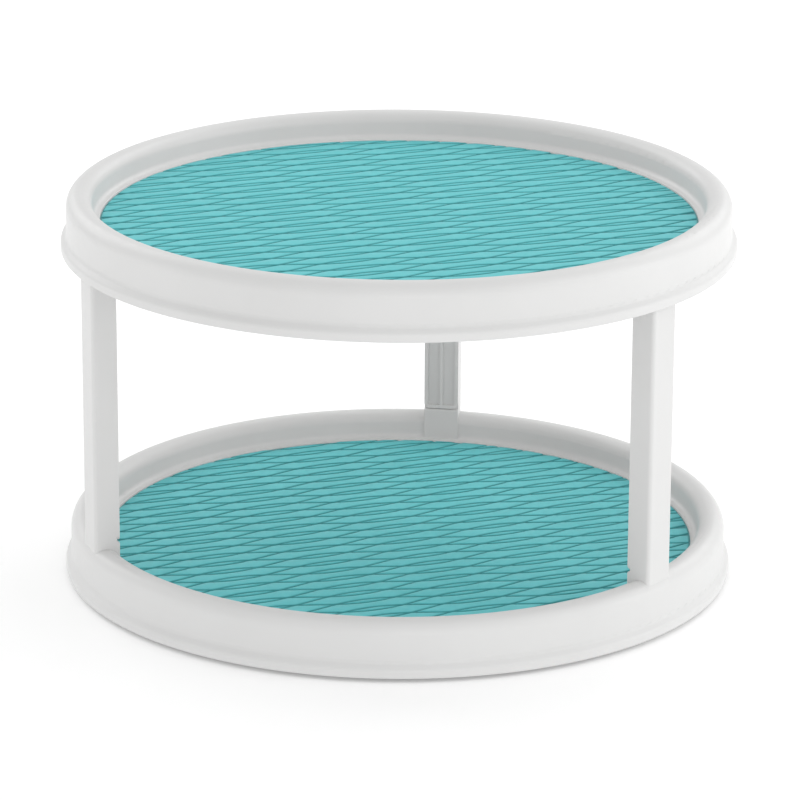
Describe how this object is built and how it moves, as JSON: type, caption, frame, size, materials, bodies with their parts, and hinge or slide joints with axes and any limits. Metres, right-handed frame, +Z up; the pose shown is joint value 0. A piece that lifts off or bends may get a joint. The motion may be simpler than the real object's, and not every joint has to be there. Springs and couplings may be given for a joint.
{
  "type": "lazy susan turntable",
  "caption": "Round two-tier turntable: shallow trays with raised rims and grippy patterned mats, joined by three posts, turning on a ball-bearing base.",
  "frame": {"origin": "on the table, under the spin axis: bottom centre of the object's box", "axes": "+Z up along the spin axis; +Y through the back post, with the other posts 120 degrees either way"},
  "size_m": [0.3048, 0.3048, 0.1781],
  "materials": {
    "white_plastic": "satin white polypropylene",
    "teal_mat": "satin teal thermoplastic elastomer with an engraved net of wavy lines",
    "cage_plastic": "natural unpigmented plastic",
    "bearing_steel": "polished bearing steel",
    "foot_rubber": "matt dark rubber",
    "plated_steel": "zinc-plated steel"
  },
  "bodies": {
    "base": {"base_plate": "white_plastic", "foot_1": "foot_rubber", "foot_2": "foot_rubber", "foot_3": "foot_rubber", "foot_4": "foot_rubber", "foot_5": "foot_rubber", "foot_6": "foot_rubber"},
    "turntable": {"lower_tray": "white_plastic", "lower_mat": "teal_mat", "post_back": "white_plastic", "post_left": "white_plastic", "post_right": "white_plastic", "upper_tray": "white_plastic", "upper_mat": "teal_mat", "pivot_screw": "plated_steel", "pivot_washer": "plated_steel"},
    "bearing": {"ball_cage": "cage_plastic", "ball_01": "bearing_steel", "ball_02": "bearing_steel", "ball_03": "bearing_steel", "ball_04": "bearing_steel", "ball_05": "bearing_steel", "ball_06": "bearing_steel", "ball_07": "bearing_steel", "ball_08": "bearing_steel", "ball_09": "bearing_steel", "ball_10": "bearing_steel", "ball_11": "bearing_steel", "ball_12": "bearing_steel"}
  },
  "joints": [
    {"name": "tray_spin", "type": "hinge", "parent": "base", "child": "turntable", "pos_m": [0, 0, 0.0104], "axis": [0, 0, 1], "continuous": true},
    {"name": "cage_spin", "type": "hinge", "parent": "base", "child": "bearing", "pos_m": [0, 0, 0.007], "axis": [0, 0, 1], "continuous": true}
  ],
  "couplings": [
    {"joint": "cage_spin", "follows": "tray_spin", "ratio": 0.5}
  ]
}
